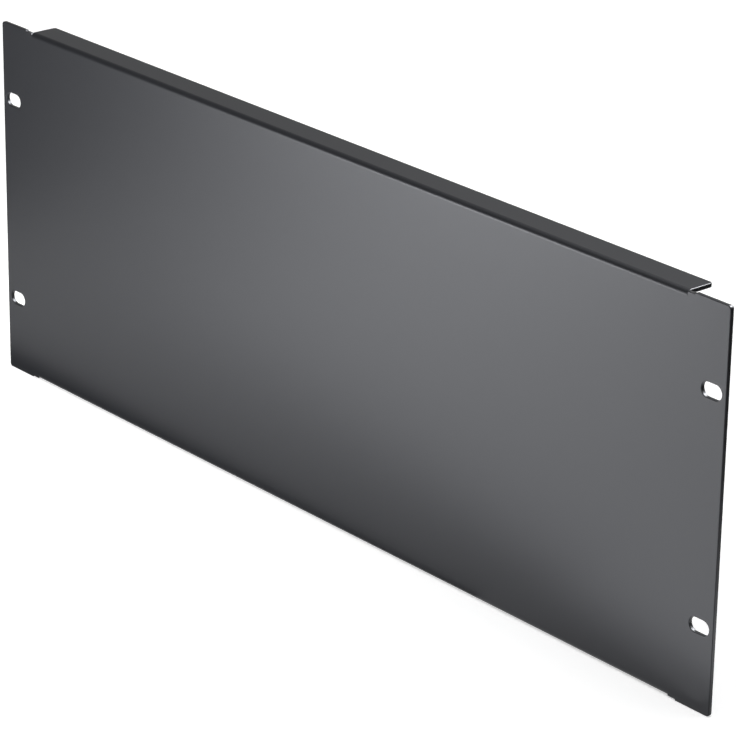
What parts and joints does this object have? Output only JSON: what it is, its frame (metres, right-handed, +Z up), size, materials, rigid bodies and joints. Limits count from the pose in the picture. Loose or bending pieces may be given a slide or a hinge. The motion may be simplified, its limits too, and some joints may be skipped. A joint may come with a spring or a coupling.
{
  "type": "rack blanking panel",
  "caption": "Flat blanking panel for a 19 inch equipment rack, folded from one sheet with return flanges above and below and slotted ears.",
  "frame": {"origin": "centre of the four slots, on the rear face of the sheet that rests on the rack rails", "axes": "+X along the panel, +Y out of the rear face into the rack, +Z up; the front looks along -Y"},
  "size_m": [0.4826, 0.0143, 0.177],
  "materials": {
    "powder_coat": "satin black powder coat"
  },
  "bodies": {
    "root": {"blanking_panel": "powder_coat"}
  },
  "joints": []
}
